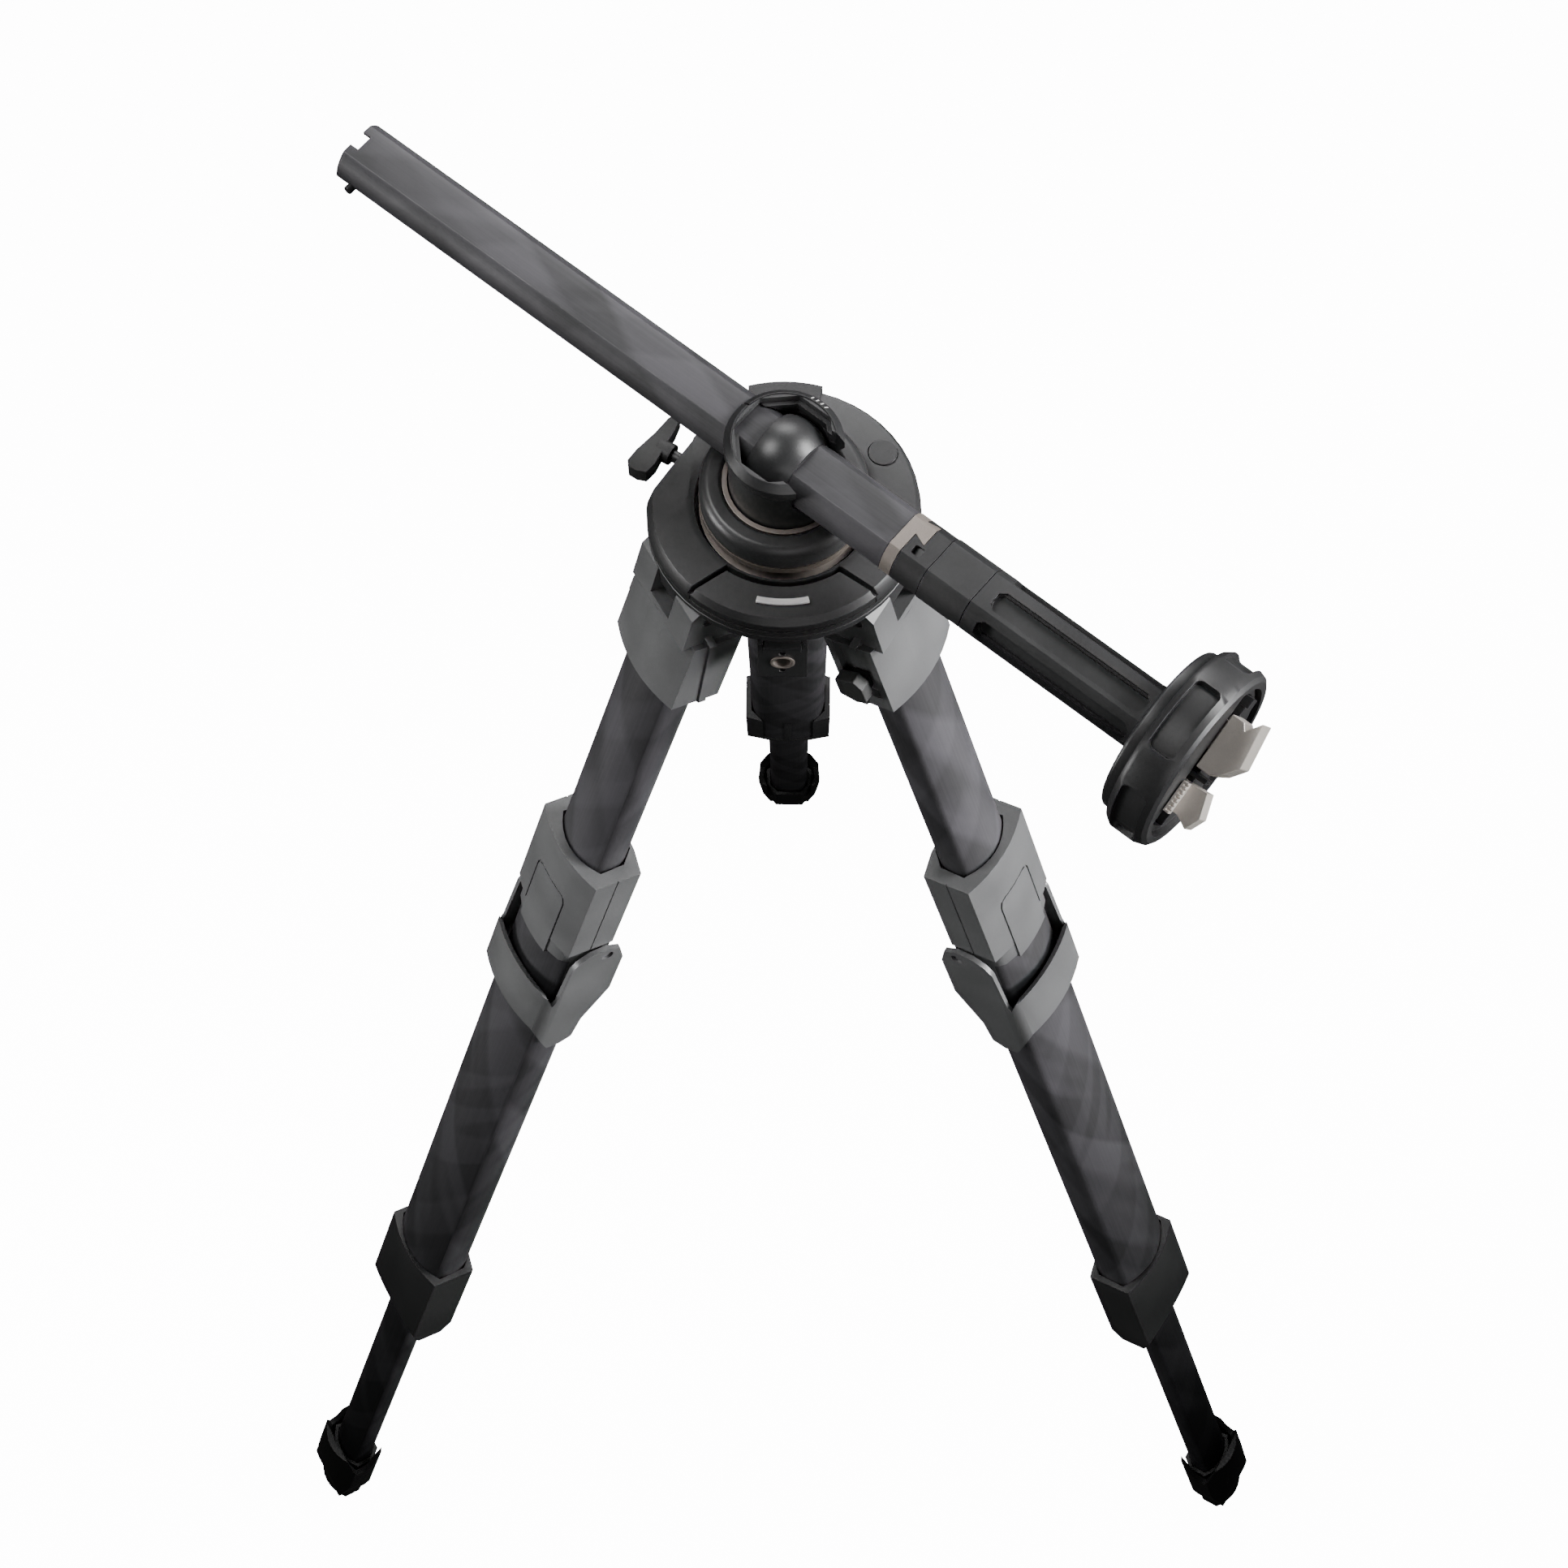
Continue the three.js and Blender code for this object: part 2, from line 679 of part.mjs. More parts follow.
// ---- levelling bowl and tower ----
function sphereArc(radius, from, to, steps) {
  const points = [];
  for (let i = 0; i <= steps; i++) {
    const z = from + ((to - from) * i) / steps;
    points.push([Math.sqrt(radius ** 2 - (z - BOWL_Z) ** 2), z]);
  }
  return points;
}

// Spherical cradle that rolls in the crown's bowl and carries the levelling head.
function levellingBall() {
  const profile = [
    ...sphereArc(BOWL_R, -56, -41, 6),
    ...sphereArc(TILT_R + 0.4, -56, -41, 6).reverse(),
  ];
  profile.push(profile[0]);
  return turned(profile, 48);
}

function levellingRing() {
  return turned(
    [
      [0, -56],
      ...sphereArc(TILT_R, -56, BOWL_Z, 7),
      [36.6, BOWL_Z],
      [36.6, -30.8],
      [38.6, -30.8],
      [38.6, -22.5],
      [37.6, -19.6],
      [35, RING_TOP - 0.3],
      [30, RING_TOP],
      [28.4, RING_TOP - 0.5],
      [28.4, -20],
      [25.6, -20],
      [25.6, -38],
      [0, -38],
    ],
    48,
  );
}

addPiece(frame, "levelling_ball", levellingBall(), BRONZE());
addPiece(frame, "levelling_ring", levellingRing(), CHARCOAL());
addPiece(frame, "levelling_band", turned(ringProfile(36.9, 38.8, -34.8, -31.1), 48), BRONZE());
addPiece(frame, "ring_insert", turned(ringProfile(25.7, 28.1, -19.6, RING_TOP - 0.4), 48), BRONZE());

const column = new THREE.Group();
column.rotation.z = rad(COLUMN_AZIMUTH);
frame.add(column);

// What the column sweeps through the tower: open to the top on the mount side.
function columnWay(body) {
  const tunnel = solid(prismX(columnSection(COLUMN_R + 0.8, COLUMN_FLAT + 0.7), -40, 40));
  const slot = solid(block(4, 40, -COLUMN_R - 0.8, COLUMN_R + 0.8, 0, 40));
  return body.subtract(tunnel).subtract(slot);
}

function towerBody() {
  const profile = [
    [0, -37.6],
    [TOWER_R, -37.6],
    [TOWER_R, 6],
    [26.9, 11],
    [26.9, RIM_Z],
    [23.6, 18.6],
    [23.2, 18.6],
    [23.2, 9],
    [BALL_R + 0.5, 7],
    [BALL_R + 0.5, -21.5],
    [0, -21.5],
  ];
  return columnWay(solid(turned(profile, 48)));
}

function towerLiner() {
  const outer = arcPoints(22.9, 0, 360, 48).slice(0, -1);
  const octagon = arcPoints(21.6, 22.5, 382.5, 8).slice(0, -1);
  return columnWay(solid(prismZ(outer, 9.3, 17, [octagon])));
}

addPiece(column, "column_tower", towerBody(), BLACK());
addPiece(column, "tower_liner", towerLiner(), CHARCOAL());

function ballBand() {
  const points = [];
  for (let i = 0; i <= 7; i++) {
    const x = -8.5 + 21 * (i / 7);
    points.push([Math.sqrt(BALL_R ** 2 - x ** 2), x]);
  }
  const sphere = solid(turnedX([[0, -8.5], ...points, [0, 12.5]], 36));
  return sphere.subtract(
    solid(prismX(columnSection(COLUMN_R + 0.3, COLUMN_FLAT + 0.3), -30, 30)),
  );
}

addPiece(column, "column_ball", ballBand(), BLACK());

// ---- column ----
function columnTube() {
  const hole = columnSection(COLUMN_R - COLUMN_WALL, COLUMN_FLAT - COLUMN_WALL);
  const body = solid(
    prismX(columnSection(COLUMN_R, COLUMN_FLAT), COLUMN_TAIL, COLUMN_HEAD, [hole]),
  );
  const notch = solid(block(COLUMN_TAIL - 5, COLUMN_TAIL + 9, -5, 5, 8, 20));
  const pinHole = solid(rod(2.6, V(COLUMN_TAIL + 9, -20, 0), V(COLUMN_TAIL + 9, -9, 0), 20));
  return body.subtract(notch).subtract(pinHole);
}

function tailPlug() {
  const slim = columnSection(COLUMN_R - COLUMN_WALL - GAP, COLUMN_FLAT - COLUMN_WALL - GAP);
  const body = solid(prismX(slim, COLUMN_TAIL + 2, COLUMN_TAIL + 24));
  const bore = solid(rod(2.6, V(COLUMN_TAIL + 9, -20, 0), V(COLUMN_TAIL + 9, -3, 0), 20));
  const hollow = solid(block(COLUMN_TAIL - 1, COLUMN_TAIL + 5, -6, 6, -6, 20));
  return body.subtract(bore).subtract(hollow);
}

addPiece(column, "column_tube", columnTube(), CARBON());
addPiece(column, "tail_plug", tailPlug(), BLACK());
addPiece(column, "tail_pin", rod(2.2, V(COLUMN_TAIL + 9, -18.6, 0), V(COLUMN_TAIL + 9, -6.5, 0), 20),
  BLACK());

const DOVETAIL_TURN = 25; // degrees from the middle of the top flat towards +Y

// Dovetail that locks the bronze ring to the black collar.
function dovetail(grow) {
  const tooth = [
    [RING_END - 2, -3.2 - grow],
    [RING_END + 6.5 + grow, -6.2 - grow],
    [RING_END + 6.5 + grow, 6.2 + grow],
    [RING_END - 2, 3.2 + grow],
  ];
  return prismZ(tooth, COLUMN_FLAT - 3.4, 30).rotateX(-rad(DOVETAIL_TURN));
}

function headSolid(from, to, grow = 0.3) {
  return solid(prismX(columnSection(COLUMN_R + grow, COLUMN_FLAT + grow), from, to));
}

const CORE_R = 9.6; // inner bolt channel

function boredHead(from, to, grow) {
  return headSolid(from, to, grow).subtract(solid(rod(CORE_R, V(from - 5, 0, 0), V(to + 5, 0, 0), 32)));
}

function columnRing() {
  const tooth = headSolid(RING_END - 2, RING_END + 12).intersect(solid(dovetail(0)));
  return boredHead(COLUMN_HEAD + GAP, RING_END).add(tooth);
}

const HOLE_POLAR = 108; // degrees round the column from its +Y side

function columnCollar() {
  const hole = solid(prismY([[RING_END + 3.8, 1.4], [RING_END + 4.6, 2.2], [RING_END + 8, 2.2],
    [RING_END + 8.8, 1.4], [RING_END + 8.8, -1.4], [RING_END + 8, -2.2], [RING_END + 4.6, -2.2],
    [RING_END + 3.8, -1.4]], -30, -11).rotateX(rad(HOLE_POLAR - 180)));
  return boredHead(RING_END + GAP, COLLAR_END).subtract(solid(dovetail(0.35))).subtract(hole);
}

// Half-plane wedge seen along the column, from one angle round to the other, as [y, z].
function wedge(from, to) {
  return [[0, 0], ...arcPoints(60, from, to, 6)];
}

const LATCH_HINGE = 11; // degrees round the column from its +Y side
const LATCH_EDGE = 188; // the latch's free edge
const SLOT_EDGE = 197; // the casting's lip below the finger slot

// A long groove with round ends, cut from above.
function flute() {
  const from = LATCH_END + 7.5;
  const to = GRIP_END - 6;
  const outline = [
    [from, -3],
    [from + 3, -5.4],
    [to - 3, -5.4],
    [to, -3],
    [to, 3],
    [to - 3, 5.4],
    [from + 3, 5.4],
    [from, 3],
  ];
  return prismZ(outline, 12.2, 30);
}

// The grip casting runs under the latch as a slim core, and skins the column below it.
function columnGrip() {
  const from = COLLAR_END + GAP;
  const skin = headSolid(from, LATCH_END + 2, 0.7).intersect(
    solid(prismX(wedge(SLOT_EDGE, 360 + LATCH_HINGE - 1.6), from - 5, LATCH_END + 5)),
  );
  const core = solid(rod(11.4, V(from, 0, 0), V(LATCH_END + 2, 0, 0), 32));
  let body = headSolid(LATCH_END + GAP, GRIP_END, 0.7).add(skin).add(core);
  for (let k = 0; k < 6; k++) {
    body = body.subtract(solid(flute().rotateX(rad(6 + 60 * k))));
  }
  return body.subtract(solid(rod(CORE_R, V(from - 5, 0, 0), V(GRIP_END + 5, 0, 0), 32)));
}

function columnLatch() {
  const shell = headSolid(COLLAR_END + GAP, LATCH_END, 0.7);
  const inside = solid(prismX(columnSection(13.8, 11.9), COLLAR_END - 5, LATCH_END + 5));
  const keep = solid(prismX(wedge(LATCH_HINGE, LATCH_EDGE), COLLAR_END - 5, LATCH_END + 5));
  return shell.intersect(keep).subtract(inside);
}

addPiece(column, "column_ring", columnRing(), BRONZE());
addPiece(column, "column_collar", columnCollar(), BLACK());
addPiece(column, "column_latch", columnLatch(), BLACK());
addPiece(column, "column_grip", columnGrip(), BLACK());

// ---- quick-release mount ----
const BASE = [
  [0, GRIP_END + GAP],
  [39, GRIP_END + GAP],
  [40.2, GRIP_END + 1.6],
  [40.2, LOCK_RING_FROM - GAP],
  [0, LOCK_RING_FROM - GAP],
];

const FINGERS = 5; // finger recesses round the lock ring
const FINGER_TURN = 11.5; // degrees from straight up to the middle of the first

function lockRing() {
  const profile = [
    [RECEIVER_R + 0.6, LOCK_RING_FROM],
    [LOCK_RING_R - 2, LOCK_RING_FROM],
    [LOCK_RING_R, LOCK_RING_FROM + 3],
    [LOCK_RING_R, LOCK_RING_TO - 6],
    [LOCK_RING_R - 1.5, LOCK_RING_TO - 1.5],
    [LOCK_RING_R - 3.6, LOCK_RING_TO],
    [RECEIVER_R + 0.6, LOCK_RING_TO],
    [RECEIVER_R + 0.6, LOCK_RING_FROM],
  ];
  let body = solid(turnedX(profile, 48));
  for (let k = 0; k < FINGERS; k++) {
    const middle = 90 + FINGER_TURN + (k * 360) / FINGERS;
    const sector = [
      ...arcPoints(LOCK_RING_R - 2.4, middle - 24, middle + 24, 8),
      ...arcPoints(LOCK_RING_R + 12, middle + 24, middle - 24, 8),
    ];
    body = body.subtract(solid(prismX(sector, LOCK_RING_FROM + 3.6, LOCK_RING_TO - 4.6)));
  }
  return body;
}

// The jaws slide along Y in a cross slot; a ribbed stop stands between them.
function receiver() {
  const face = RECEIVER_FACE;
  let body = solid(
    turnedX([[0, LOCK_RING_FROM], [RECEIVER_R, LOCK_RING_FROM], [RECEIVER_R, face - 1],
      [RECEIVER_R - 1.5, face], [0, face]], 48),
  );
  body = body.subtract(solid(block(face - 9, face + 5, -34, 34, -9.4, 9.4)));
  body = body.subtract(solid(block(face - 3, face + 5, 28.6, 34.4, -4, 5)));
  for (let k = 0; k < 9; k++) {
    const nick = block(face - 1.6, face + 3, -0.7, 0.7, 34.2, 40);
    body = body.subtract(solid(nick.rotateX(rad(-24 + 6 * k))));
  }
  const stop = solid(block(face - 10, face + 8, -7.6, -5.4, -7, 7));
  const nicks = [-4.6, -1.6, 1.4, 4.4].map((z) =>
    solid(block(face + 6.6, face + 9, -9, -4, z, z + 1.4)),
  );
  return nicks.reduce((made, nick) => made.subtract(nick), body.add(stop));
}

// A wedge jaw: a foot in the cross slot, and above the face a profile of [y, x] of width 2 * reach.
function jaw(foot, profile, reach) {
  const face = RECEIVER_FACE;
  const slide = solid(block(face - 8.6, face + 1, foot[0], foot[1], -9, 9));
  const wedge = solid(prismZ(profile.map(([y, x]) => [face + x, y]), -reach, reach));
  return slide.add(wedge);
}

const LARGE_JAW = [
  [-3, 0.7],
  [-3, 7.5],
  [-0.3, 11.9],
  [6.9, 17.1],
  [28.1, 14],
  [21.1, 9.2],
  [24.1, 7],
  [24.1, 0.7],
];
const SMALL_JAW = [
  [-24.6, 0.7],
  [-24.6, 5.7],
  [-27.9, 11.8],
  [-20.8, 14.8],
  [-9.8, 11.1],
  [-10.6, 0.7],
];

// The small jaw's rack, beside it: a bar with teeth across its face.
function rack() {
  const face = RECEIVER_FACE;
  const bar = solid(block(face + 0.7, face + 3.4, -26, -10.6, 8, 14.6));
  let made = bar;
  for (let k = 0; k < 7; k++) {
    const y = -25 + 2.1 * k;
    const gap = solid(block(face + 1.7, face + 5, y, y + 1, 11, 16));
    made = made.subtract(gap);
  }
  return made;
}

const mount = new THREE.Group();
mount.rotation.x = rad(MOUNT_TURN);
column.add(mount);
addPiece(column, "mount_base", turnedX(BASE, 40), CHARCOAL());
addPiece(column, "mount_lock_ring", lockRing(), BLACK());
addPiece(mount, "mount_receiver", receiver(), CHARCOAL());
addPiece(mount, "mount_button", block(RECEIVER_FACE - 2.6, RECEIVER_FACE + 3.6, 29, 34, -3.6, 4.6),
  BLACK());
addPiece(mount, "jaw_large", jaw([6, 20], LARGE_JAW, 10.6), SILVER());
addPiece(mount, "jaw_small", jaw([-20, -11], SMALL_JAW, 8).add(rack()), SILVER());

// ---- stand the feet on z = 0, centred ----
part.updateMatrixWorld(true);
const box = new THREE.Box3().setFromObject(part, true);
const centre = box.getCenter(new THREE.Vector3());
frame.position.set(-centre.x, -centre.y, -box.min.z);
part.updateMatrixWorld(true);

export default part;
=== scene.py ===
"""A carbon-fibre tripod with its centre column swung level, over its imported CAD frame.

Lengths are millimetres until a vertex is written; the frame and the scene are metres.
"""

import json
import math
import bmesh
import bpy
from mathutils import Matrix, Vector

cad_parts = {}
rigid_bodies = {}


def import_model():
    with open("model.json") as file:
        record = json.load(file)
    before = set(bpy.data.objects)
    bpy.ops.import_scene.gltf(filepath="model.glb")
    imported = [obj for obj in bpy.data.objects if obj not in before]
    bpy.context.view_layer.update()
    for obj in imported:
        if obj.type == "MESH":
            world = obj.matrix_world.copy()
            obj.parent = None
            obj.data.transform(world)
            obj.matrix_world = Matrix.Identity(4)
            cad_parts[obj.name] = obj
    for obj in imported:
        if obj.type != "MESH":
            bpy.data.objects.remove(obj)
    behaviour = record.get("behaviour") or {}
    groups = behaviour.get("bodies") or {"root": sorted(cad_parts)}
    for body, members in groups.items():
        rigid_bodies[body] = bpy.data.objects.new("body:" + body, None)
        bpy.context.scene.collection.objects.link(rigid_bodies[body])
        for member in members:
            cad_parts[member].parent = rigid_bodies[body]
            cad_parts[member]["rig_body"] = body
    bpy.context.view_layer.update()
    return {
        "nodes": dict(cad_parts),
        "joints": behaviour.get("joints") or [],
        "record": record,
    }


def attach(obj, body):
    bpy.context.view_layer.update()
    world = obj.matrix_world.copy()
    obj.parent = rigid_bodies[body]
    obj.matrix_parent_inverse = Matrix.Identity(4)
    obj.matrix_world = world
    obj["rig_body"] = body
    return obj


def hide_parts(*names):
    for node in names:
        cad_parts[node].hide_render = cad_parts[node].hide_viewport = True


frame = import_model()
JOINTS = {j["name"]: j for j in frame["joints"]}
MM = 0.001

# ---- places taken from the frame ----
BOWL_DROP = 35  # the levelling bowl's centre lies this far below the column's axis
TOP = Vector(JOINTS["level_roll"]["pos_m"]) + Vector((0, 0, BOWL_DROP * MM))  # where the axes cross
ALONG = Vector(JOINTS["column_slide"]["axis"]).normalized()
ACROSS = Vector((-ALONG.y, ALONG.x, 0))
LEGS = (1, 2, 3)
LEG_OFFSET = 7.9  # the leg's axis lies this far inside its hinge


def on_column(along, across, up):
    return TOP + (ALONG * along + ACROSS * across) * MM + Vector((0, 0, up * MM))


def on_crown(x, y, z):
    return TOP + Vector((x, y, z)) * MM


def leg_axes(number):
    """Hinge, and the leg's outward, sideways and upward directions."""
    hinge = Vector(JOINTS[f"leg_{number}_splay"]["pos_m"])
    side = -Vector(JOINTS[f"leg_{number}_splay"]["axis"]).normalized()
    up = -Vector(JOINTS[f"leg_{number}_middle_slide"]["axis"]).normalized()
    return hinge, side.cross(up), side, up


def on_leg(number, x, y, z):
    hinge, out, side, up = leg_axes(number)
    return hinge + (out * (x - LEG_OFFSET) + side * y + up * z) * MM


# ---- node materials ----
def new_material(name):
    material = bpy.data.materials.new(name)
    material.use_nodes = True
    tree = material.node_tree
    tree.nodes.clear()
    out = tree.nodes.new("ShaderNodeOutputMaterial")
    shader = tree.nodes.new("ShaderNodeBsdfPrincipled")
    tree.links.new(shader.outputs[0], out.inputs[0])
    return material, tree, shader


def position(tree):
    return tree.nodes.new("ShaderNodeTexCoord").outputs["Object"]


def noise(tree, where, scale, detail=3.0, rough=0.5):
    node = tree.nodes.new("ShaderNodeTexNoise")
    node.inputs["Scale"].default_value = scale
    node.inputs["Detail"].default_value = detail
    node.inputs["Roughness"].default_value = rough
    tree.links.new(where, node.inputs["Vector"])
    return node.outputs["Fac"]


def spread(tree, value, low, high, start=0.3, end=0.7):
    node = tree.nodes.new("ShaderNodeMapRange")
    node.inputs["From Min"].default_value = start
    node.inputs["From Max"].default_value = end
    node.inputs["To Min"].default_value = low
    node.inputs["To Max"].default_value = high
    tree.links.new(value, node.inputs["Value"])
    return node.outputs["Result"]


def blend_colour(tree, share, dark, light):
    node = tree.nodes.new("ShaderNodeMix")
    node.data_type = "RGBA"
    node.inputs[6].default_value = (*dark, 1)
    node.inputs[7].default_value = (*light, 1)
    tree.links.new(share, node.inputs[0])
    return node.outputs[2]


def bump(tree, shader, height, strength, distance):
    node = tree.nodes.new("ShaderNodeBump")
    node.inputs["Strength"].default_value = strength
    node.inputs["Distance"].default_value = distance
    tree.links.new(height, node.inputs["Height"])
    tree.links.new(node.outputs[0], shader.inputs["Normal"])


MOTTLE = 26.0  # noise scale of the broad mottling


def textured(name, dark, light, rough, grain, metallic=0.0, depth=0.00006, strength=0.35):
    """Painted, moulded or blasted surface: fine grain, faint mottling and uneven gloss."""
    material, tree, shader = new_material(name)
    where = position(tree)
    fine = noise(tree, where, grain, 2.0, 0.6)
    broad = noise(tree, where, MOTTLE, 3.0)
    mixed = tree.nodes.new("ShaderNodeMath")
    mixed.operation = "MULTIPLY_ADD"
    tree.links.new(fine, mixed.inputs[0])
    mixed.inputs[1].default_value = 0.6
    tree.links.new(spread(tree, broad, 0.0, 0.4), mixed.inputs[2])
    tree.links.new(blend_colour(tree, mixed.outputs[0], dark, light), shader.inputs["Base Color"])
    tree.links.new(spread(tree, broad, rough - 0.04, rough + 0.05), shader.inputs["Roughness"])
    shader.inputs["Metallic"].default_value = metallic
    bump(tree, shader, fine, strength, depth)
    return material


def slanted(tree, uv, degrees, along, across):
    """Coordinates turned on the tube's surface, one unit long every along by across metres."""
    turned = tree.nodes.new("ShaderNodeMapping")
    turned.vector_type = "TEXTURE"
    turned.inputs["Location"].default_value = (0.3 * along, 0.7 * across, 0)
    turned.inputs["Rotation"].default_value = (0, 0, math.radians(degrees))
    turned.inputs["Scale"].default_value = (along, across, 1)
    tree.links.new(uv.outputs[0], turned.inputs["Vector"])
    return turned.outputs[0]


def carbon(name):
    """Woven tube under clear coat: long streaks and broad slanting plies; UV is metres along, round."""
    material, tree, shader = new_material(name)
    uv = tree.nodes.new("ShaderNodeUVMap")
    uv.uv_map = "along_round"
    streak_map = tree.nodes.new("ShaderNodeMapping")
    streak_map.inputs["Scale"].default_value = (5.0, 950.0, 1.0)
    tree.links.new(uv.outputs[0], streak_map.inputs["Vector"])
    streaks = noise(tree, streak_map.outputs[0], 1.0, 3.0, 0.6)
    plies = noise(tree, slanted(tree, uv, 24, 0.22, 0.03), 1.0, 1.0, 0.35)
    cross = noise(tree, slanted(tree, uv, -31, 0.16, 0.022), 1.0, 1.0, 0.35)
    total = tree.nodes.new("ShaderNodeMath")
    total.operation = "ADD"
    tree.links.new(spread(tree, plies, 0.12, 0.5, 0.46, 0.54), total.inputs[0])
    tree.links.new(spread(tree, cross, 0.0, 0.22, 0.47, 0.55), total.inputs[1])
    whole = tree.nodes.new("ShaderNodeMath")
    whole.operation = "ADD"
    tree.links.new(total.outputs[0], whole.inputs[0])
    tree.links.new(spread(tree, streaks, -0.06, 0.1), whole.inputs[1])
    tree.links.new(
        blend_colour(tree, whole.outputs[0], (0.012, 0.0117, 0.013), (0.056, 0.054, 0.0605)),
        shader.inputs["Base Color"],
    )
    tree.links.new(spread(tree, whole.outputs[0], 0.58, 0.42, 0.0, 0.9), shader.inputs["Roughness"])
    shader.inputs["Specular IOR Level"].default_value = 0.35
    shader.inputs["Coat Weight"].default_value = 0.1
    shader.inputs["Coat Roughness"].default_value = 0.35
    bump(tree, shader, streaks, 0.12, 0.00003)
    return material


PAINT = textured("grey_paint", (0.045, 0.0455, 0.047), (0.095, 0.096, 0.098), 0.44, 2300)
BLACK_PAINT = textured("black_paint", (0.006, 0.006, 0.0065), (0.022, 0.022, 0.023), 0.4, 2100,
                       depth=0.00008, strength=0.5)
PLASTIC = textured("black_plastic", (0.005, 0.005, 0.0055), (0.018, 0.018, 0.019), 0.42, 1900)
# darker grey paint; on the lower leg collars it is painted shade, the clamps' grey paint darkened for the
# weaker light low on the legs
DARK_PAINT_AND_SHADE = textured("dark_grey_paint_and_painted_shade", (0.014, 0.0142, 0.0148), (0.036, 0.0365, 0.0375), 0.44, 2300)
RUBBER = textured("rubber", (0.003, 0.003, 0.003), (0.01, 0.01, 0.01), 0.6, 900, 0, 0.0001, 0.5)
BRONZE = textured("bronze_metal", (0.17, 0.145, 0.13), (0.27, 0.24, 0.215), 0.45, 2600, 0.6)
DIM_BRONZE = textured("dim_bronze", (0.05, 0.041, 0.035), (0.1, 0.085, 0.072), 0.5, 2600, 0.5)
SILVER = textured("silver_metal", (0.42, 0.39, 0.36), (0.58, 0.54, 0.5), 0.36, 2600, 0.6)
BRIGHT = textured("bright_silver", (0.6, 0.59, 0.58), (0.8, 0.79, 0.78), 0.3, 2600, 0.4)
CARBON = carbon("carbon_fibre")
FINISHES = {
    "charcoal_paint": PAINT,
    "black_plastic": PLASTIC,
    "carbon": CARBON,
    "bronze_metal": BRONZE,
    "silver_metal": SILVER,
    "rubber": RUBBER,
}
OWN_FINISH = {
    "front_badge": BRIGHT,
    "levelling_band": DIM_BRONZE,
    "wing_knob": RUBBER,
}
for painted in ("crown_body", "crown_cover", "front_plate", "round_cap", "levelling_ring", "tower_liner",
                "mount_base", "mount_receiver", "accessory_plate", "wing_knob_screw"):
    OWN_FINISH[painted] = BLACK_PAINT
# painted shade: the lower collars are the same grey paint as the clamps, given the darker grey because less
# light reaches them
LEG_MATERIAL = {"lower_collar": DARK_PAINT_AND_SHADE, "angle_selector": RUBBER, "hinge_pin": BLACK_PAINT}

# ---- edge softening shared by every piece ----
SHARP = math.radians(42)
BEVELLED = math.radians(34)  # edges that turn by more than this are bevelled
SAME_POINT = 0.00002  # metres


def sharp_edges():
    """Geometry nodes that shade smooth everywhere but across edges sharper than SHARP."""
    group = bpy.data.node_groups.new("smooth_by_angle", "GeometryNodeTree")
    group.interface.new_socket("Geometry", in_out="INPUT", socket_type="NodeSocketGeometry")
    group.interface.new_socket("Geometry", in_out="OUTPUT", socket_type="NodeSocketGeometry")
    entry = group.nodes.new("NodeGroupInput")
    leave = group.nodes.new("NodeGroupOutput")
    angle = group.nodes.new("GeometryNodeInputMeshEdgeAngle")
    below = group.nodes.new("FunctionNodeCompare")
    below.operation = "LESS_EQUAL"
    below.inputs[1].default_value = SHARP
    faces = group.nodes.new("GeometryNodeSetShadeSmooth")
    edges = group.nodes.new("GeometryNodeSetShadeSmooth")
    edges.domain = "EDGE"
    link = group.links.new
    link(entry.outputs[0], faces.inputs[0])
    link(faces.outputs[0], edges.inputs[0])
    link(angle.outputs[0], below.inputs[0])
    link(below.outputs[0], edges.inputs["Shade Smooth"])
    link(edges.outputs[0], leave.inputs[0])
    return group


SMOOTH = sharp_edges()


def soften(piece, width, weld=False, segments=2):
    if weld:
        piece.modifiers.new("weld", "WELD").merge_threshold = SAME_POINT
        flat = piece.modifiers.new("flat", "DECIMATE")
        flat.decimate_type = "DISSOLVE"
        flat.angle_limit = math.radians(1.0)
    if width:
        edge = piece.modifiers.new("edge", "BEVEL")
        edge.width = width * MM
        edge.segments = segments
        edge.limit_method = "ANGLE"
        edge.angle_limit = BEVELLED
        edge.use_clamp_overlap = True
    smooth = piece.modifiers.new("smooth", "NODES")
    smooth.node_group = SMOOTH
    even = piece.modifiers.new("even", "WEIGHTED_NORMAL")
    even.keep_sharp = True


def paint(piece, material):
    piece.data.materials.clear()
    piece.data.materials.append(material)


SLOT_OF = {row["node"]: row["material_slot"] for row in frame["record"]["subparts"]}
LEG_PREFIX = len("leg_1_")
FINE_EDGE = 0.35  # bevel width in millimetres of a node that isn't named below
EDGE = {
    "crown_cover": 0.8,
    "crown_body": 0.8,
    "front_plate": 1.0,
    "mount_lock_ring": 1.1,
    "mount_base": 0.8,
    "column_grip": 0.9,
    "column_tower": 0.5,
    "wing_knob": 1.6,
    "levelling_ring": 1.2,
    "jaw_large": 0.6,
    "jaw_small": 0.9,
}
LEG_EDGE = {"yoke": 0.5, "clamp_collar": 0.8, "lock_lever": 0.7, "lower_collar": 0.9, "foot": 0.4,
            "angle_selector": 1.0}


def edge_of(node):
    if node.startswith("leg_"):
        return LEG_EDGE.get(node[LEG_PREFIX:], FINE_EDGE)
    return EDGE.get(node, FINE_EDGE)


def material_of(node):
    usual = FINISHES[SLOT_OF[node]]
    if node.startswith("leg_"):
        return LEG_MATERIAL.get(node[LEG_PREFIX:], usual)
    return OWN_FINISH.get(node, usual)


for node, piece in frame["nodes"].items():
    soften(piece, edge_of(node), weld=True)
    paint(piece, material_of(node))


